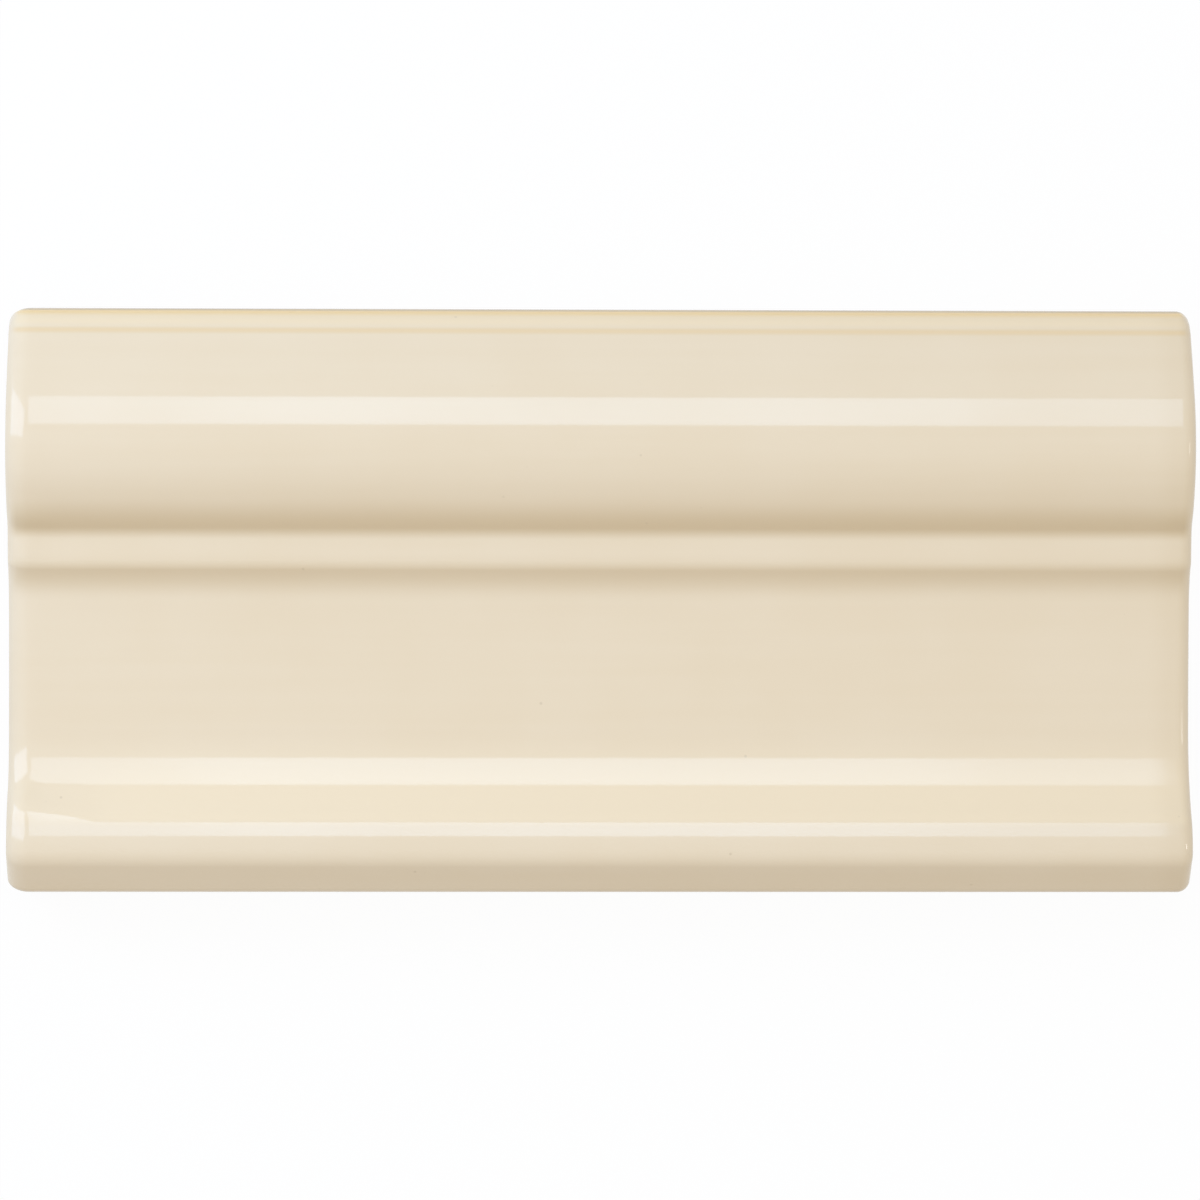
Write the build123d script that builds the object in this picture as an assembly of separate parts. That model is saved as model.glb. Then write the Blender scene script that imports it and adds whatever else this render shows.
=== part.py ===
from build123d import *
import os
from math import cos, radians, sin, tan

# A glazed ceramic moulding tile: a cornice moulding, pressed and fired as one piece.
# It lies on its back. X runs along the moulding, Y up the wall and Z out of the wall,
# and the origin is the middle of the back. Lengths are in millimetres, angles in degrees.
#
# The moulded face is one chain of arcs, each leaving the last one without a kink.
# Its tilt is the angle between the face and the back: 90 at the top edge, positive where
# the face looks up the wall, zero on a crest or a hollow, and -90 at the bottom edge.

# Overall sizes
LENGTH = 152.0
WIDTH = 75.0
THICKNESS = 19.0  # from the back to the crest of the roll

# Top nosing, a narrow round that turns from the top edge to the face
TOP_NOSING_RADIUS = 5.2
NOSING_TILT = 25.0

# Quirk, the faint hollow line between the nosing and the shoulder
QUIRK_RADIUS = 2.0
SHOULDER_TILT = 29.0

# Shoulder, the nearly straight slope up to the roll
SHOULDER_RADIUS = 97.0
ROLL_TILT = 24.0

# Roll, the large rounded member, fuller above its crest than below
ROLL_RADIUS = 17.7
ROLL_UNDER_RADIUS = 14.9
ROLL_UNDER_TILT = -44.0

# Crease, the hollow corner under the roll
CREASE_RADIUS = 2.0

# Fillet, the narrow flat band below the crease, and its rounded lower arris
FILLET_WIDTH = 2.85
ARRIS_RADIUS = 1.9
STEP_TILT = -40.0

# Cavetto, the small hollow under the fillet
CAVETTO_RADIUS = 6.9

# Fascia, the broad and slightly hollow band, whose radius follows from the width left for it
FASCIA_TOP_TILT = -4.0
FASCIA_FOOT_TILT = 1.0

# Cove, the hollow that lifts from the fascia to the bead
COVE_RADIUS = 17.2
BEAD_TILT = 35.5

# Bead, the lower rounded member, and its tighter turn below the crest
BEAD_RADIUS = 9.0
BEAD_FOOT_RADIUS = 3.0

# Splay, the flat slope under the bead, and the nosing that turns it down to the bottom edge
SPLAY_WIDTH = 2.78
SPLAY_TILT = -45.0
BOTTOM_NOSING_RADIUS = 1.9

# Edges that the press and the glaze leave rounded at the two ends, and the fettled back arris
END_ROUND_RADIUS = 1.7
BACK_ARRIS = 0.5

# Key grooves along the back, which the adhesive grips
KEY_COUNT = 6
KEY_PITCH = 11.0
KEY_WIDTH = 5.0
KEY_DEPTH = 1.0
KEY_SIDE_ANGLE = 60.0

LEVEL = 0.0
TOP_EDGE_TILT = 90.0
BOTTOM_EDGE_TILT = -90.0


def run(radius, tilt_from, tilt_to):
    """How far across the tile an arc of the face reaches while its tilt changes."""
    return radius * abs(sin(radians(tilt_to)) - sin(radians(tilt_from)))


def rise(radius, tilt_from, tilt_to):
    """How far an arc of the face climbs away from the back while its tilt changes."""
    return radius * abs(cos(radians(tilt_to)) - cos(radians(tilt_from)))


def follow(line, arcs):
    """The chain of arcs, each given as radius, first tilt and last tilt, that carries a line on."""
    chain = []
    for radius, tilt_from, tilt_to in arcs:
        line = JernArc(line @ 1, line % 1, radius, tilt_from - tilt_to)
        chain.append(line)
    return chain


def moulded_section():
    """The tile's cross-section, with Y to the right and Z up, before the back is grooved."""
    above_crest = [
        (TOP_NOSING_RADIUS, TOP_EDGE_TILT, NOSING_TILT),
        (QUIRK_RADIUS, NOSING_TILT, SHOULDER_TILT),
        (SHOULDER_RADIUS, SHOULDER_TILT, ROLL_TILT),
        (ROLL_RADIUS, ROLL_TILT, LEVEL),
    ]
    below_crest = [
        (ROLL_UNDER_RADIUS, LEVEL, ROLL_UNDER_TILT),
        (CREASE_RADIUS, ROLL_UNDER_TILT, LEVEL),
    ]
    below_fillet = [
        (ARRIS_RADIUS, LEVEL, STEP_TILT),
        (CAVETTO_RADIUS, STEP_TILT, FASCIA_TOP_TILT),
    ]
    below_fascia = [
        (COVE_RADIUS, FASCIA_FOOT_TILT, BEAD_TILT),
        (BEAD_RADIUS, BEAD_TILT, LEVEL),
        (BEAD_FOOT_RADIUS, LEVEL, SPLAY_TILT),
    ]
    below_splay = [(BOTTOM_NOSING_RADIUS, SPLAY_TILT, BOTTOM_EDGE_TILT)]
    arcs = above_crest + below_crest + below_fillet + below_fascia + below_splay
    fascia_run = WIDTH - FILLET_WIDTH - SPLAY_WIDTH - sum(run(*arc) for arc in arcs)
    fascia_radius = fascia_run / run(1, FASCIA_TOP_TILT, FASCIA_FOOT_TILT)
    fascia = [(fascia_radius, FASCIA_TOP_TILT, FASCIA_FOOT_TILT)]

    top_edge_height = THICKNESS - sum(rise(*arc) for arc in above_crest)
    top_edge = Line((WIDTH / 2, 0), (WIDTH / 2, top_edge_height))
    upper_face = follow(top_edge, above_crest + below_crest)
    fillet_start = upper_face[-1] @ 1
    fillet_band = Line(fillet_start, fillet_start - (FILLET_WIDTH, 0))
    lower_face = follow(fillet_band, below_fillet + fascia + below_fascia)
    splay_start = lower_face[-1] @ 1
    splay_drop = SPLAY_WIDTH * tan(radians(-SPLAY_TILT))
    splay = Line(splay_start, splay_start - (SPLAY_WIDTH, splay_drop))
    nosing = follow(splay, below_splay)
    bottom_edge = Line(nosing[-1] @ 1, (-WIDTH / 2, 0))
    back = Line(bottom_edge @ 1, top_edge @ 0)
    face = [top_edge, *upper_face, fillet_band, *lower_face, splay, *nosing]
    return make_face([*face, bottom_edge, back])


def key_grooves():
    """The grooves of the back, longer than the tile so that they run out at both ends."""
    groove = Trapezoid(KEY_WIDTH, KEY_DEPTH, KEY_SIDE_ANGLE, align=(Align.CENTER, Align.MIN))
    row = [place * groove for place in GridLocations(KEY_PITCH, 0, KEY_COUNT, 1)]
    return extrude(Plane.YZ * Sketch(row), amount=LENGTH, both=True)


def moulding_tile():
    """The whole tile: the section run along the wall, its edges rounded and its back grooved."""
    tile = extrude(Plane.YZ * moulded_section(), amount=LENGTH / 2, both=True)
    back_outline = tile.faces().sort_by(Axis.Z)[0].edges()
    end_outlines = tile.faces().filter_by(Axis.X).edges()
    tile = fillet(end_outlines - back_outline, END_ROUND_RADIUS)
    tile = chamfer(tile.faces().sort_by(Axis.Z)[0].edges(), BACK_ARRIS)
    return tile - key_grooves()


os.makedirs("parts", exist_ok=True)
tile = moulding_tile()
tile.label = "moulding_tile"
export_step(tile, "parts/moulding_tile.step")
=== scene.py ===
# %% [markdown]
# # A glazed ceramic moulding tile
# The tile is a cornice moulding, pressed in a die, glazed and fired as one piece.
# It lies on its back with the moulded face up, as it would on a tiler's bench.
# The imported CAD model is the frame: its box fixes where the tile lies and how large it is.
# A finer mesh is modelled over it here, because a glossy glaze shows every facet of a coarse one.

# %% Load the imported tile
from math import atan, ceil, cos, pi, radians, sin, tan

import bpy
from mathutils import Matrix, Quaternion, Vector


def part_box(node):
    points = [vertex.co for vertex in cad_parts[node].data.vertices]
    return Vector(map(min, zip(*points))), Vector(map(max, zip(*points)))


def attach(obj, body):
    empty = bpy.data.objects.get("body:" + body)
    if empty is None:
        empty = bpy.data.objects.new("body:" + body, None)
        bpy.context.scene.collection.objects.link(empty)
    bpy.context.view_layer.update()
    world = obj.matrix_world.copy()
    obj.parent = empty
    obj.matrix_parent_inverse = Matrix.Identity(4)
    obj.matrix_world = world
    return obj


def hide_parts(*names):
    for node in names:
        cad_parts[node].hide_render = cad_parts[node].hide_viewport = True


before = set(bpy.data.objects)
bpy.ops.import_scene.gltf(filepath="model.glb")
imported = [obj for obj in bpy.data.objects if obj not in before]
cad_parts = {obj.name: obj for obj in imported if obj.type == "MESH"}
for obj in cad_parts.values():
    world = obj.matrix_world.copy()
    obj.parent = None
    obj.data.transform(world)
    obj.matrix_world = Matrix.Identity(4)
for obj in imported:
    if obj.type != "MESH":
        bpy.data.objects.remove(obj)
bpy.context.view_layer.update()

MM = 0.001
back_corner, crest_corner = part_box("moulding_tile")
tile_size = crest_corner - back_corner
print("CAD box in mm:", [round(side / MM, 2) for side in tile_size])

# %% [markdown]
# ## The section
# A moulding is one outline, the section, run along a straight line.
# Its face is a chain of arcs, and each leaves the last one without a kink, so the glaze
# shows no break in its reflections. An arc could be placed by its centre and its two ends.
# Here it is given by its radius and by the tilt of the face where it begins and ends,
# because tilt is what the eye reads on a glossy moulding: a lamp shines back from wherever
# the tilt is right. The tilt is 90 at the top edge, 0 on a crest or in a hollow, and -90 at
# the bottom edge. It falls along a round and climbs along a hollow.

# %% Sizes of the section
ROUND_TOP = (5.2 * MM, 90, 25)
QUIRK = (2.0 * MM, 25, 29)
SHOULDER = (97.0 * MM, 29, 24)
ROLL_ABOVE_CREST = (17.7 * MM, 24, 0)
ROLL_BELOW_CREST = (14.9 * MM, 0, -44)
CREASE = (2.0 * MM, -44, 0)
FILLET_WIDTH = 2.85 * MM
ARRIS = (1.9 * MM, 0, -40)
CAVETTO = (6.9 * MM, -40, -4)
FASCIA_TILTS = (-4, 1)
COVE = (17.2 * MM, 1, 35.5)
BEAD = (9.0 * MM, 35.5, 0)
BEAD_FOOT = (3.0 * MM, 0, -45)
SPLAY_WIDTH = 2.78 * MM
SPLAY_TILT = -45
ROUND_BOTTOM = (1.9 * MM, SPLAY_TILT, -90)


def facing(tilt):
    """The direction in which the face looks where it has this tilt."""
    return Vector((0, sin(radians(tilt)), cos(radians(tilt))))


def step_of(arc):
    """How far an arc carries the section across the tile and up from its back."""
    radius, tilt_from, tilt_to = arc
    side = 1 if tilt_to < tilt_from else -1
    return side * radius * (facing(tilt_to) - facing(tilt_from))


above_crest = [ROUND_TOP, QUIRK, SHOULDER, ROLL_ABOVE_CREST]
above_fillet = above_crest + [ROLL_BELOW_CREST, CREASE]
below_fillet = [ARRIS, CAVETTO]
below_fascia = [COVE, BEAD, BEAD_FOOT]
all_but_fascia = above_fillet + below_fillet + below_fascia + [ROUND_BOTTOM]
across = sum((step_of(arc) for arc in all_but_fascia), Vector())
fascia_width = tile_size.y + across.y - FILLET_WIDTH - SPLAY_WIDTH
fascia_radius = fascia_width / (facing(FASCIA_TILTS[1]).y - facing(FASCIA_TILTS[0]).y)
FASCIA = (fascia_radius, *FASCIA_TILTS)
top_edge_height = tile_size.z - sum((step_of(arc) for arc in above_crest), Vector()).z
print("fascia in mm: width", round(fascia_width / MM, 2), "radius", round(fascia_radius / MM, 1))
print("flat of the top edge in mm:", round(top_edge_height / MM, 2))

# %% [markdown]
# ## Selecting by place
# An operator acts on whatever is selected, and by hand that is a click.
# In a script the place does the picking: a point, edge or face is selected if its middle
# passes a test. Everything is deselected first, because loading leaves the CAD selected.


# %% A helper that selects by place
def pick(kind, test):
    """In edit mode, select the points (VERT), edges (EDGE) or faces (FACE) whose middle passes."""
    bpy.ops.mesh.select_mode(type=kind)
    bpy.ops.mesh.select_all(action="DESELECT")
    bpy.ops.object.mode_set(mode="OBJECT")
    mesh = bpy.context.object.data
    if kind == "VERT":
        found = [(point, point.co) for point in mesh.vertices]
    elif kind == "EDGE":
        ends = [[mesh.vertices[i].co for i in edge.vertices] for edge in mesh.edges]
        found = [(edge, (a + b) / 2) for edge, (a, b) in zip(mesh.edges, ends)]
    else:
        found = [(face, face.center) for face in mesh.polygons]
    chosen = [part for part, middle in found if test(middle)]
    for part in chosen:
        part.select = True
    bpy.ops.object.mode_set(mode="EDIT")
    return len(chosen)


bpy.ops.object.select_all(action="DESELECT")
print("selected objects:", len(bpy.context.selected_objects))

# %% [markdown]
# ## Running the moulding
# A plasterer makes a cornice by pulling a template along a rail.
# A mesh can be run the other way: a strip as long as the tile is one edge of it, and that
# strip's border is spun through each arc in turn, round an axis that lies along the tile.
# The faces come out as neat rows of quads, small enough that the shading flows over them.
# Near the ends the strip is cut finer, because the ends are worked on again later.

# %% The first strip, which is the flat of the top edge
STRIP_COUNT = 48
FINE_CUTS = 5
FINE_FROM = 3 * MM
FINE_TO = 12 * MM
end_x = tile_size.x / 2
half_height = top_edge_height / 2

bpy.ops.mesh.primitive_plane_add(size=1, rotation=(radians(90), 0, 0))
tile = bpy.context.object
tile.name = "glazed_tile"
tile.scale = (tile_size.x, top_edge_height, 1)
tile.location = (0, crest_corner.y, half_height)
bpy.ops.object.transform_apply(location=True, rotation=True, scale=True)
bpy.ops.object.mode_set(mode="EDIT")
pick("EDGE", lambda middle: abs(middle.x) < end_x / 2)
bpy.ops.mesh.subdivide(number_cuts=STRIP_COUNT - 1)
pick("EDGE", lambda middle: FINE_FROM < end_x - abs(middle.x) < FINE_TO
     and abs(middle.z - half_height) > half_height / 2)
bpy.ops.mesh.subdivide(number_cuts=FINE_CUTS)
leading = pick("VERT", lambda middle: middle.z > half_height)
print("strips along the tile:", leading - 1)

# %% The arcs of the face, spun one after the other
FACET_TILT = 1.5


def spin_arc(start, arc):
    """Spin the leading edge of the run through an arc, and return the point that it reaches."""
    radius, tilt_from, tilt_to = arc
    side = 1 if tilt_to < tilt_from else -1
    centre = start - side * radius * facing(tilt_from)
    turn = tilt_from - tilt_to
    steps = ceil(abs(turn) / FACET_TILT)
    bpy.ops.mesh.spin(steps=steps, angle=radians(turn), center=centre, axis=(-1, 0, 0))
    return start + step_of(arc)


def draw_flat(start, move):
    """Extrude the leading edge of the run straight on, and return the point that it reaches."""
    bpy.ops.mesh.extrude_edges_move(TRANSFORM_OT_translate={"value": move})
    return start + move


end_of = {}
reached = Vector((0, crest_corner.y, top_edge_height))
for arc in above_fillet:
    reached = spin_arc(reached, arc)
    end_of[arc] = reached
reached = draw_flat(reached, Vector((0, -FILLET_WIDTH, 0)))
for arc in below_fillet + [FASCIA] + below_fascia:
    reached = spin_arc(reached, arc)
    end_of[arc] = reached
splay_drop = SPLAY_WIDTH * tan(radians(SPLAY_TILT))
reached = draw_flat(reached, Vector((0, -SPLAY_WIDTH, splay_drop)))
reached = spin_arc(reached, ROUND_BOTTOM)
print("the run ends at y, z in mm:", round(reached.y / MM, 3), round(reached.z / MM, 3))

# %% The bottom edge, the back and the two ends
TOUCH = 0.001 * MM


def count_faces():
    """How many faces the tile has by now, also while it is being edited."""
    tile.update_from_editmode()
    return len(tile.data.polygons)


reached = draw_flat(reached, Vector((0, 0, -reached.z)))
draw_flat(reached, Vector((0, tile_size.y, 0)))
bpy.ops.mesh.select_all(action="SELECT")
bpy.ops.mesh.remove_doubles(threshold=TOUCH)
for side in (-1, 1):
    pick("EDGE", lambda middle: side * middle.x > end_x - TOUCH)
    bpy.ops.mesh.edge_face_add()
bpy.ops.mesh.select_all(action="SELECT")
bpy.ops.mesh.normals_make_consistent(inside=False)
print("faces of the closed run:", count_faces())

# %% [markdown]
# ## Rounded ends and the back arris
# The die leaves no sharp edge, and the glaze draws thin over what is left and rounds it more.
# A bevel with several segments along the outline of each end gives that.
# The outline of the back is not glazed. It is only scraped, so it gets a small flat chamfer.
# Two more cuts keep the shading crisp. An inset leaves a thin flat rim round each end, where the
# smooth shading of the rounding runs out. The rim has to be narrower than what the rounding
# leaves of the tightest rounds of the section, or its inner outline would cross itself.
# The other, close beside the right rounding, keeps the face straight up to it.

# %% Round the ends and scrape the back
END_ROUND = 1.7 * MM
END_SEGMENTS = 12
BACK_ARRIS = 0.5 * MM
END_FLAT_RIM = 0.1 * MM
HOLDING_GAP = 0.2 * MM

pick("EDGE", lambda middle: abs(middle.x) > end_x - TOUCH and middle.z > TOUCH)
bpy.ops.mesh.bevel(offset=END_ROUND, segments=END_SEGMENTS, affect="EDGES", clamp_overlap=False)
pick("FACE", lambda middle: middle.z < TOUCH)
bpy.ops.mesh.region_to_loop()
bpy.ops.mesh.bevel(offset=BACK_ARRIS, segments=1, affect="EDGES", clamp_overlap=False)
pick("FACE", lambda middle: abs(middle.x) > end_x - TOUCH)
bpy.ops.mesh.inset(thickness=END_FLAT_RIM)
bpy.ops.mesh.select_all(action="SELECT")
bpy.ops.mesh.bisect(plane_co=(end_x - END_ROUND - HOLDING_GAP, 0, 0), plane_no=(1, 0, 0))
print("faces after rounding:", count_faces())

# %% [markdown]
# ## What the kiln does to the ends
# No two ends of a fired tile are alike. The left end of this one slumped: its rounding is
# drawn out along the tile, and its rim droops. The lower half of the right end only sank a little.
# The rounding is drawn out by scaling it along X from the end. The rest are soft moves:
# proportional editing drags the neighbours along, and less of them the farther away they are.

# %% Draw out the left rounding, let its rim droop and sink the right end
DRAWN_OUT = 1.6
RIM = 0.3 * MM
DROOP = 0.35 * MM
DROOP_LENGTH = 3.2 * MM
SINK = 0.038 * MM
SINK_LENGTH = 5 * MM
FACE_LEVEL = 9 * MM


def soft_move(move, falloff, reach):
    """Move the selected points, and their neighbours within reach by less and less."""
    bpy.ops.transform.translate(value=move, use_proportional_edit=True,
                                proportional_edit_falloff=falloff, proportional_size=reach)


in_rounding = pick("VERT", lambda middle: middle.x < -end_x + END_ROUND + TOUCH)
bpy.ops.transform.resize(value=(DRAWN_OUT, 1, 1), center_override=(-end_x, 0, 0))
in_rim = pick("VERT", lambda middle: middle.x < -end_x + RIM and middle.z > FACE_LEVEL)
soft_move((0, 0, -DROOP), "SHARP", DROOP_LENGTH)
in_sink = pick("VERT", lambda middle: middle.x > end_x - END_ROUND and middle.y < 0
               and middle.z > FACE_LEVEL)
soft_move((0, 0, -SINK), "SHARP", SINK_LENGTH)
print("points drawn out, drooped and sunk:", in_rounding, in_rim, in_sink)

# %% [markdown]
# ## Glaze in the ends of the hollows
# Runny glaze fills the last few millimetres of a hollow. Here it lies in both ends of the crease,
# and at the left end in the hollow above the bead and on the rim beside it.
# It is tenths of a millimetre, but the lamp's reflections bend and fade there instead of
# running to the edge. The same soft moves raise it. Above the bead several moves of different
# lengths add up, so that the glaze thins out slowly along the hollow.

# %% Fill the ends of the hollows
CREASE_FILL = 0.3 * MM
CREASE_FILL_FROM_END = 1.5 * END_ROUND
CREASE_FILL_HALF_WIDTH = 0.8 * MM
CREASE_FILL_REACH = 4.5 * MM
BEAD_FILL = 0.13 * MM
BEAD_FILL_ENDS = [3 * MM, 5 * MM, 7 * MM, 9 * MM]
BEAD_FILL_ABOVE_BEAD = 0.4 * MM
BEAD_FILL_HALF_WIDTH = 0.3 * MM
BEAD_FILL_REACH = 3.2 * MM
RIM_FILL = 0.2 * MM
RIM_FILL_ABOVE_BEAD = 1.6 * MM

crease_y = end_of[ROLL_BELOW_CREST].y
bead_y = end_of[COVE].y


def beside_line(point, line_y, half_width):
    """Whether a point belongs to the face and lies close to a line along the tile."""
    return abs(point.y - line_y) < half_width and point.z > FACE_LEVEL


in_crease_ends = pick("VERT", lambda middle: abs(middle.x) > end_x - CREASE_FILL_FROM_END
                      and beside_line(middle, crease_y, CREASE_FILL_HALF_WIDTH))
soft_move((0, 0, CREASE_FILL), "SMOOTH", CREASE_FILL_REACH)
for fill_end in BEAD_FILL_ENDS:
    in_hollow = pick("VERT", lambda middle: middle.x < -end_x + fill_end
                     and beside_line(middle, bead_y + BEAD_FILL_ABOVE_BEAD, BEAD_FILL_HALF_WIDTH))
    soft_move((0, 0, BEAD_FILL), "SMOOTH", BEAD_FILL_REACH)
on_left_rim = pick("VERT", lambda middle: -end_x + RIM < middle.x < -end_x + END_ROUND
                   and beside_line(middle, bead_y + RIM_FILL_ABOVE_BEAD, BEAD_FILL_HALF_WIDTH))
soft_move((0, 0, RIM_FILL), "SMOOTH", BEAD_FILL_REACH)
bpy.ops.object.mode_set(mode="OBJECT")
print("points raised in the crease, above the bead and on the rim:", in_crease_ends, in_hollow, on_left_rim)

# %% [markdown]
# ## Key grooves in the back
# Shallow grooves let the adhesive grip the back. They are cut last, as the die's ribs press
# them: one groove is modelled as a bar, an array repeats it, and a Boolean takes it away.

# %% Cut the key grooves
KEY_COUNT = 6
KEY_PITCH = 11.0 * MM
KEY_WIDTH = 5.0 * MM
KEY_DEPTH = 1.0 * MM
KEY_SIDE_ANGLE = 60
KEY_OVERLENGTH = 1.2
SMOOTH_ANGLE = 30

bpy.ops.object.select_all(action="DESELECT")
bpy.ops.mesh.primitive_cube_add(size=1)
key = bpy.context.object
first_key_y = -(KEY_COUNT - 1) / 2 * KEY_PITCH
key.scale = (KEY_OVERLENGTH * tile_size.x, KEY_WIDTH, 2 * KEY_DEPTH)
key.location = (0, first_key_y, 0)
bpy.ops.object.transform_apply(location=True, rotation=True, scale=True)
side_slope = KEY_DEPTH / tan(radians(KEY_SIDE_ANGLE))
bpy.ops.object.mode_set(mode="EDIT")
for level in (-1, 1):
    pick("FACE", lambda middle: middle.z * level > KEY_DEPTH / 2)
    narrowing = 1 - level * 2 * side_slope / KEY_WIDTH
    bpy.ops.transform.resize(value=(1, narrowing, 1), center_override=(0, first_key_y, 0))
bpy.ops.object.mode_set(mode="OBJECT")
row = key.modifiers.new("row of grooves", "ARRAY")
row.count = KEY_COUNT
row.use_relative_offset = False
row.use_constant_offset = True
row.constant_offset_displace = (0, KEY_PITCH, 0)
bpy.ops.object.modifier_apply(modifier=row.name)

bpy.ops.object.select_all(action="DESELECT")
bpy.context.view_layer.objects.active = tile
tile.select_set(True)
cut = tile.modifiers.new("key grooves", "BOOLEAN")
cut.operation = "DIFFERENCE"
cut.solver = "MANIFOLD"
cut.object = key
bpy.ops.object.modifier_apply(modifier=cut.name)
bpy.data.objects.remove(key)
bpy.ops.object.shade_smooth_by_angle(angle=radians(SMOOTH_ANGLE))
print("faces with the grooves cut:", len(tile.data.polygons))

# %% [markdown]
# ## Taking the place of the CAD piece
# The finished mesh belongs to the tile's one body and hides the CAD piece that it stands for.
# It could be laid over that piece instead, but then the coarse facets would show through.

# %% The tile takes the place of the CAD piece
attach(tile, "root")
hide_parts("moulding_tile")
print("in the place of the CAD piece:", tile.name)

# %% [markdown]
# ## Patterns written as sums
# A finish varies from place to place, and each variation is a small sum of positions and
# noises. Wired by hand that takes a Math node for every plus and times. A class that holds
# one output socket can add those nodes itself whenever Python meets a plus or a times, so
# the pattern reads like the sum that it is.


# %% A socket that can be reckoned with
class Wire:
    """An output of a node, in sums of which every sign adds a Math node to the same tree."""

    def __init__(self, tree, socket):
        self.tree = tree
        self.socket = socket

    def add(self, kind, output=0, settings=None, values=None):
        """Add a node of any kind: its settings come first, then its sockets are filled or linked."""
        node = self.tree.nodes.new(kind)
        for name, setting in (settings or {}).items():
            setattr(node, name, setting)
        for name, value in (values or {}).items():
            if isinstance(value, Wire):
                self.tree.links.new(value.socket, node.inputs[name])
            else:
                node.inputs[name].default_value = value
        return Wire(self.tree, node.outputs[output])

    def reckon(self, operation, first, second):
        """Add the Math node for one sign of a sum."""
        return self.add("ShaderNodeMath", settings={"operation": operation}, values={0: first, 1: second})

    def __add__(self, other):
        return self.reckon("ADD", self, other)

    def __radd__(self, other):
        return self.reckon("ADD", other, self)

    def __sub__(self, other):
        return self.reckon("SUBTRACT", self, other)

    def __rsub__(self, other):
        return self.reckon("SUBTRACT", other, self)

    def __mul__(self, other):
        return self.reckon("MULTIPLY", self, other)

    def __rmul__(self, other):
        return self.reckon("MULTIPLY", other, self)

    def __abs__(self):
        return self.reckon("ABSOLUTE", self, 0)

    def ease(self, none, full):
        """0 where the value is at the first level, 1 where it is at the second, eased in between."""
        return self.add("ShaderNodeMapRange", settings={"interpolation_type": "SMOOTHSTEP"},
                        values={"Value": self, "From Min": none, "From Max": full})

    def blend(self, first, second):
        """The first colour where the value is 0, the second where it is 1, and a mix in between."""
        return self.add("ShaderNodeMix", output=2, settings={"data_type": "RGBA"},
                        values={0: self, 6: first, 7: second})

    def noise(self, grain, detail=2.0):
        """A noise about 0.5 whose lumps have about this size, for a wire that carries a place."""
        return self.add("ShaderNodeTexNoise", values={"Vector": self, "Scale": 1 / grain, "Detail": detail})

    def stretched(self, factors):
        """A place with each of its three parts multiplied, which stretches the noise that reads it."""
        return self.add("ShaderNodeVectorMath", settings={"operation": "MULTIPLY"},
                        values={0: self, 1: factors})


def start_material(name):
    """A new material with a plain shader, and its node tree."""
    material = bpy.data.materials.new(name)
    material.use_nodes = True
    return material, material.node_tree.nodes["Principled BSDF"], material.node_tree


glaze, glaze_shader, glaze_tree = start_material("cream_glaze")
tile.data.materials.clear()
tile.data.materials.append(glaze)
coordinates = glaze_tree.nodes.new("ShaderNodeTexCoord")
place = Wire(glaze_tree, coordinates.outputs["Object"])
x, y, z = (place.add("ShaderNodeSeparateXYZ", output=axis, values={0: place}) for axis in "XYZ")
print("material slots on the tile:", len(tile.data.materials))

# %% [markdown]
# ## Glaze and bare clay
# The cream glaze covers the face and runs down the sides. It stops a few millimetres above
# the back, because a glazed back would stick to the kiln shelf.
# Below that ragged line the pale clay is bare and matt.
# The line could be a second material on some faces. A noise that shifts a level up and down
# gives it a natural wander, whichever faces it crosses.

# %% Where the glaze stops
GLAZE_LINE = 3.2 * MM
GLAZE_WANDER = 1.8 * MM
WANDER_GRAIN = 9 * MM
LINE_BLUR = 0.2 * MM

wander = place.noise(WANDER_GRAIN) - 0.5
line = GLAZE_LINE + GLAZE_WANDER * wander
bare = z.ease(none=line + LINE_BLUR, full=line - LINE_BLUR)
print("the glaze stops about", round(GLAZE_LINE / MM, 1), "mm above the back")

# %% [markdown]
# ## Where glaze gathers, and painted shade
# Melted glaze runs off the rounds and gathers in the hollows: the quirk, the crease and the
# hollow under the fillet. There the deeper, warmer cream is partly pooled glaze and partly painted
# shade. Under the roll, at the right end and on the foot, more so to the right, it is painted shade.
# The hollows run straight along the tile, so the place across it says how much there is.
# The ends are glazed evenly, and all of it fades just inboard of them.
# The numbers in the sums are shares: 1 is the deepest cream.


# %% How much glaze has gathered, and the painted shade
def beside(line_y, reach):
    """1 on a line along the tile, easing to 0 at this distance to either side of it."""
    return abs(y - line_y).ease(none=reach, full=0)


def fading(line_y, none, full):
    """0 at the first distance above a line along the tile, 1 at the second, eased in between."""
    return y.ease(none=line_y + none, full=line_y + full)


quirk_y = end_of[ROUND_TOP].y
cavetto_y = end_of[ARRIS].y - 0.6 * MM
in_quirk = beside(quirk_y, reach=0.6 * MM)
# Painted shade: the underside of the roll faces away from the lamps and is darkened.
painted_shade_under_roll = fading(crease_y, none=9.5 * MM, full=1.0 * MM)
above_crease = fading(crease_y, none=3.8 * MM, full=0.3 * MM)
not_below_crease = fading(crease_y, none=-1.75 * MM, full=-0.1 * MM)
in_crease = (0.2 * painted_shade_under_roll + 0.65 * above_crease) * not_below_crease
in_cavetto = beside(cavetto_y, reach=3.0 * MM)
# Painted shade: the last few millimetres of the right end are darkened.
painted_shade_at_right_end = x.ease(none=end_x - 6 * MM, full=end_x - 2 * MM)
to_the_right = x.ease(none=-end_x, full=end_x)
# Painted shade: the foot faces away from the lamps and is darkened, more so to the right, away from the light
# on the left.
painted_shade_on_foot = fading(bead_y, none=-6 * MM, full=-8.5 * MM) * (0.07 + 0.16 * to_the_right)
inboard = abs(x).ease(none=end_x - 0.2 * MM, full=end_x - 1.5 * MM)
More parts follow.
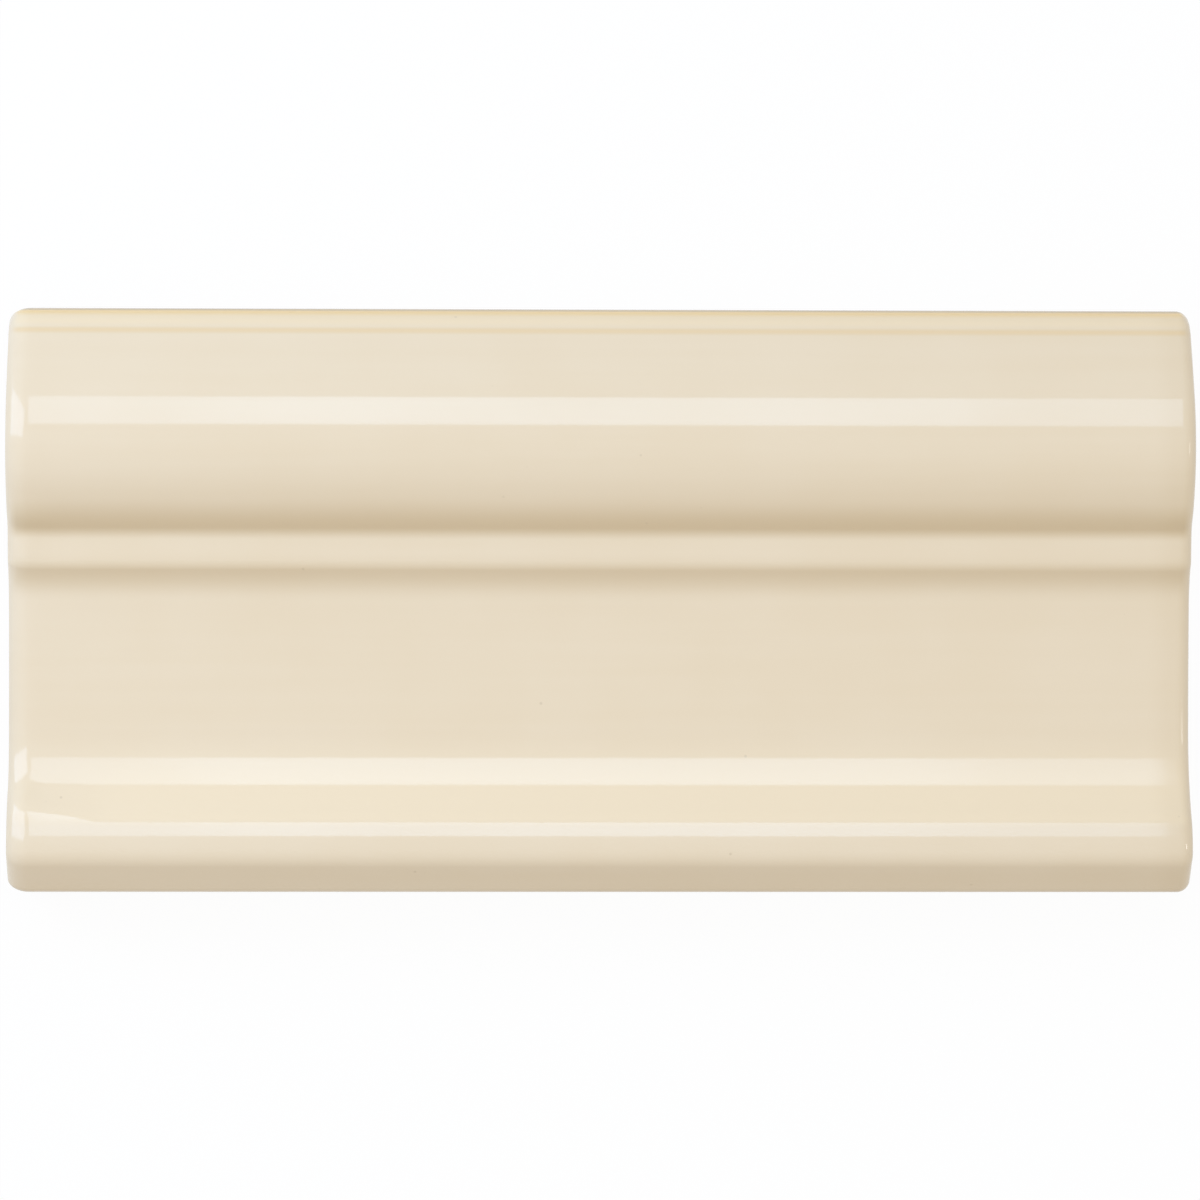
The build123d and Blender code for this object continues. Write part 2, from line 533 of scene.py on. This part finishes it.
# Partly glaze pooled in the hollows, partly painted shade in the hollows, under the roll, on the foot and at
# the right end.
pooled_glaze_and_painted_shade = inboard * (0.5 * in_quirk + in_crease + 0.5 * in_cavetto + 0.2 * painted_shade_at_right_end + painted_shade_on_foot)
print("glaze gathers at y in mm:", [round(line_y / MM, 1) for line_y in (quirk_y, crease_y, cavetto_y)])

# %% [markdown]
# ## Painted light on the slopes, and lines along the top edge
# On the nosing at the top edge, and on the slope above the bead and over its crest, the cream is
# painted paler and brighter: it is painted light, where these slopes face the lamps. On the slope it
# is less so near the left end. Along the top edge lies an amber line, with a brown one at its outer
# side. The quirk has a little of the same amber.

# %% Painted light on the slopes, and the lines along the top edge
on_nosing = fading(quirk_y, none=0.3 * MM, full=1.3 * MM)
over_bead = fading(bead_y, none=-2.4 * MM, full=-1.0 * MM)
off_left_end = x.ease(none=-end_x + 3 * MM, full=-end_x + 18 * MM)
on_slope = fading(bead_y, none=10 * MM, full=2 * MM) * over_bead * (0.5 + 0.5 * off_left_end)
# Painted light: the slopes that face the lamps get a paler, brighter cream.
painted_light_on_slopes = inboard * (on_nosing + on_slope)
from_top = crest_corner.y - y
at_top_edge = z.ease(none=top_edge_height - 0.8 * MM, full=top_edge_height + 0.4 * MM)
amber_line = from_top.ease(none=1.25 * MM, full=0.4 * MM) + 0.14 * on_nosing
amber = inboard * (amber_line * at_top_edge + 0.35 * in_quirk)
brown = inboard * from_top.ease(none=0.45 * MM, full=0.2 * MM) * at_top_edge
print("glaze is thin above y in mm:", round(quirk_y / MM, 1), "and on the slope above", round(bead_y / MM, 1))

# %% [markdown]
# ## A colour that is never quite even
# Seen close, a fired glaze is faintly cloudy, with streaks along the way the brush or the
# sprayer went, and it has a few pinholes. Each of these is a noise with its own grain:
# a coarse one, one that is stretched along the tile, and scattered points for the pinholes.
# The fired clay below the glaze line is sandy, which is a fine noise.

# %% Clouds, streaks, pinholes and sand
CLOUD_GRAIN = 16 * MM
STREAK_GRAIN = 2.2 * MM
STREAK_STRETCH = (0.04, 1, 1)
STREAK_SHARE = 0.6
PINHOLE_SPACING = 7 * MM
SAND_GRAIN = 0.7 * MM

clouds = place.noise(CLOUD_GRAIN, detail=3.0) - 0.5
streaks = place.stretched(STREAK_STRETCH).noise(STREAK_GRAIN) - 0.5
mottle = (0.5 + clouds + STREAK_SHARE * streaks).ease(none=0.2, full=0.8)
nearest = place.add("ShaderNodeTexVoronoi", output="Distance",
                    values={"Vector": place, "Scale": 1 / PINHOLE_SPACING})
pinholes = nearest.ease(none=0.034, full=0.016)
sand = place.noise(SAND_GRAIN, detail=4.0)
print("nodes in the pattern so far:", len(glaze_tree.nodes))

# %% The colours, laid over one another
PALE_CREAM = (0.864, 0.732, 0.537, 1)
WARM_CREAM = (0.850, 0.713, 0.512, 1)
PAINTED_LIGHT_CREAM = (0.912, 0.768, 0.545, 1)
DEEP_CREAM_AND_SHADE = (0.72, 0.572, 0.363, 1)
AMBER = (0.94, 0.69, 0.34, 1)
BROWN = (0.56, 0.42, 0.23, 1)
PINHOLE_TAN = (0.50, 0.39, 0.25, 1)
PINHOLE_SHARE = 0.35
CLAY = (0.83, 0.74, 0.60, 1)
CLAY_DUST = (0.76, 0.65, 0.50, 1)

glaze_colour = mottle.blend(PALE_CREAM, WARM_CREAM)
# Painted light: the paler cream on the slopes that face the lamps.
glaze_colour = painted_light_on_slopes.blend(glaze_colour, PAINTED_LIGHT_CREAM)
# The deeper cream is pooled glaze in the hollows and painted shade there and on the faces turned from the
# lamps.
glaze_colour = pooled_glaze_and_painted_shade.blend(glaze_colour, DEEP_CREAM_AND_SHADE)
glaze_colour = amber.blend(glaze_colour, AMBER)
glaze_colour = brown.blend(glaze_colour, BROWN)
glaze_colour = (PINHOLE_SHARE * pinholes).blend(glaze_colour, PINHOLE_TAN)
clay_colour = sand.ease(none=0.35, full=0.7).blend(CLAY_DUST, CLAY)
colour = bare.blend(glaze_colour, clay_colour)
glaze_tree.links.new(colour.socket, glaze_shader.inputs["Base Color"])
print("base colour fed by:", colour.socket.node.bl_label)

# %% [markdown]
# ## Gloss and ripple
# The glaze is glassy: the lamp's edge is sharp in it, and only a faint ripple, like the skin
# of an orange, bends that edge. The bare clay is dull and sandy.

# %% Roughness and bump
GLAZE_ROUGHNESS = 0.07
CLOUD_ROUGHNESS = 0.03
PINHOLE_ROUGHNESS = 0.3
CLAY_ROUGHNESS = 0.85
BUMP_HEIGHT = 0.02 * MM
RIPPLE_GRAIN = 3.5 * MM
RIPPLE_SHARE = 0.12
PINHOLE_DEPTH_SHARE = 0.5

glaze_roughness = GLAZE_ROUGHNESS + CLOUD_ROUGHNESS * clouds + PINHOLE_ROUGHNESS * pinholes
roughness = bare * CLAY_ROUGHNESS + (1 - bare) * glaze_roughness
glaze_tree.links.new(roughness.socket, glaze_shader.inputs["Roughness"])
ripple = place.noise(RIPPLE_GRAIN, detail=1.0)
height = bare * sand + (1 - bare) * (RIPPLE_SHARE * ripple - PINHOLE_DEPTH_SHARE * pinholes)
bump = height.add("ShaderNodeBump", values={"Height": height, "Distance": BUMP_HEIGHT})
glaze_tree.links.new(bump.socket, glaze_shader.inputs["Normal"])
print("nodes in the glaze:", len(glaze_tree.nodes))

# %% [markdown]
# ## The white floor
# The tile lies on white paper that fills the picture.
# Paper that is lit like the tile would look grey at its far side, and brighter lamps would
# burn out the cream. So the paper glows white to the eye, and to what mirrors it, but gives
# the tile only the light that grey paper would. It still carries a trace of the tile's shadow.

# %% Floor
FLOOR_SIZE = 6
PAPER_GREY = (0.55, 0.55, 0.55, 1)
PAPER_WHITE = (0.95, 0.95, 0.95, 1)
PAPER_ROUGHNESS = 0.9
PAPER_GLOW = 0.95


def seen_directly(tree):
    """1 for what the camera sees, straight or in a mirror or through glass, and 0 for other light."""
    path = tree.nodes.new("ShaderNodeLightPath")
    straight = Wire(tree, path.outputs["Is Camera Ray"])
    mirrored = Wire(tree, path.outputs["Is Glossy Ray"])
    through = Wire(tree, path.outputs["Is Transmission Ray"])
    return (straight + mirrored + through).ease(none=0, full=1)


bpy.ops.object.select_all(action="DESELECT")
bpy.ops.mesh.primitive_plane_add(size=FLOOR_SIZE)
floor = bpy.context.object
floor.name = "white_paper"
paper, paper_shader, paper_tree = start_material("white_paper")
floor.data.materials.append(paper)
paper_shader.inputs["Roughness"].default_value = PAPER_ROUGHNESS
paper_seen = seen_directly(paper_tree)
paper_colour = paper_seen.blend(PAPER_GREY, PAPER_WHITE)
paper_tree.links.new(paper_colour.socket, paper_shader.inputs["Base Color"])
glow = paper_seen.add("ShaderNodeEmission", values={"Strength": 1.0})
lit = Wire(paper_tree, paper_shader.outputs["BSDF"])
paper_finish = paper_seen.add("ShaderNodeMixShader", values={0: PAPER_GLOW * paper_seen, 1: lit, 2: glow})
paper_tree.links.new(paper_finish.socket, paper_tree.nodes["Material Output"].inputs["Surface"])
print("nodes in the paper:", len(paper_tree.nodes))

# %% [markdown]
# ## The room
# The room is white and slightly warm, with a ceiling that is brighter than the walls.
# A picture of a room could light the tile. Two levels that ease into each other upwards are enough,
# as only the soft light matters. What looks or mirrors past the paper sees plain white.

# %% Room
ROOM_TINT = (1.038, 1.0, 0.951, 1)
WALL_LEVEL = 0.453
CEILING_LEVEL = 0.824
WHITE = (1.0, 1.0, 1.0, 1)

room = bpy.data.worlds.new("white_room")
bpy.context.scene.world = room
room.use_nodes = True
room_tree = room.node_tree
room_seen = seen_directly(room_tree)
walls = room_seen.add("ShaderNodeBackground", values={"Color": ROOM_TINT, "Strength": WALL_LEVEL})
ceiling = room_seen.add("ShaderNodeBackground", values={"Color": ROOM_TINT, "Strength": CEILING_LEVEL})
direction = room_seen.add("ShaderNodeTexCoord", output="Generated")
upward = room_seen.add("ShaderNodeSeparateXYZ", output="Z", values={0: direction})
ambient = room_seen.add("ShaderNodeMixShader", values={0: upward.ease(none=0, full=1), 1: walls, 2: ceiling})
backdrop = room_seen.add("ShaderNodeBackground", values={"Color": WHITE, "Strength": 1.0})
room_light = room_seen.add("ShaderNodeMixShader", values={0: room_seen, 1: ambient, 2: backdrop})
room_tree.links.new(room_light.socket, room_tree.nodes["World Output"].inputs["Surface"])
print("nodes in the room:", len(room_tree.nodes))

# %% [markdown]
# ## Lamps
# A nearly square softbox hangs over the top edge and shines back as the long pale bands on the
# roll, the cove and the bead. Like most softboxes it is brighter in its middle, so a narrower lamp
# hangs just in front of it. A tall window stands near the left end. It lights the rounded end,
# and its light fades along the tile. Both are cooler than the room.
# A small lamp on the right leaves a thin line of light on the right end.
# Each lamp is placed by the bearing and the height at which the tile sees it.

# %% Softbox, window and side lamp
COOL = (0.72, 1.0, 1.38)
SKY = (0.75, 1.0, 1.47)
NEUTRAL = (1.0, 1.0, 1.0)


def softbox(name, bearing, height, distance, aim_x, width, length, brightness, colour, roll=0):
    """A rectangular lamp, its length level: bearing 0 is past the tile's top edge, 90 past its right end."""
    data = bpy.data.lights.new(name, "AREA")
    data.shape = "RECTANGLE"
    data.size = length
    data.size_y = width
    data.energy = brightness * pi * width * length
    data.color = colour
    lamp = bpy.data.objects.new(name, data)
    bpy.context.scene.collection.objects.link(lamp)
    level = cos(radians(height))
    towards = Vector((level * sin(radians(bearing)), level * cos(radians(bearing)), sin(radians(height))))
    lamp.location = Vector((aim_x, 0, tile_size.z)) + distance * towards
    facing_tile = towards.to_track_quat("Z", "Y")
    lamp.rotation_euler = (facing_tile @ Quaternion((0, 0, 1), radians(roll))).to_euler()
    lamp.visible_camera = False


softbox("softbox", bearing=0, height=57.5, distance=1.0, aim_x=0.022,
        width=0.42, length=0.40, brightness=1.8, colour=COOL)
softbox("softbox_middle", bearing=0, height=57.5, distance=0.999, aim_x=0.022,
        width=0.42, length=0.24, brightness=0.7, colour=COOL)
softbox("window", bearing=-62, height=32.3, distance=0.425, aim_x=-0.038,
        width=0.5, length=0.20, brightness=2.2, colour=SKY, roll=18)
softbox("side_lamp", bearing=88, height=31, distance=0.9, aim_x=0,
        width=0.1, length=0.1, brightness=7.0, colour=NEUTRAL)

# %% [markdown]
# ## Camera
# The photo was taken from above with a long lens, a little left of the middle and turned
# towards it, so the left end looks slightly taller than the right.

# %% Camera
CAMERA_DISTANCE = 0.73
CAMERA_LEFT = 0.020
CAMERA_TWIST = 0.095
FRAME_WIDTH = 0.15412
AIM = Vector((-0.0001, 0, 0.012))
SENSOR_WIDTH = 36

camera_data = bpy.data.cameras.new("camera")
camera_data.sensor_width = SENSOR_WIDTH
camera_data.lens = SENSOR_WIDTH * CAMERA_DISTANCE / FRAME_WIDTH
camera = bpy.data.objects.new("camera", camera_data)
bpy.context.scene.collection.objects.link(camera)
camera.location = AIM + Vector((-CAMERA_LEFT, 0, CAMERA_DISTANCE))
camera.rotation_euler = (0, -atan(CAMERA_LEFT / CAMERA_DISTANCE), radians(CAMERA_TWIST))
bpy.context.scene.camera = camera
bpy.context.scene.view_settings.view_transform = "Standard"
print("lens in mm:", round(camera_data.lens, 1))
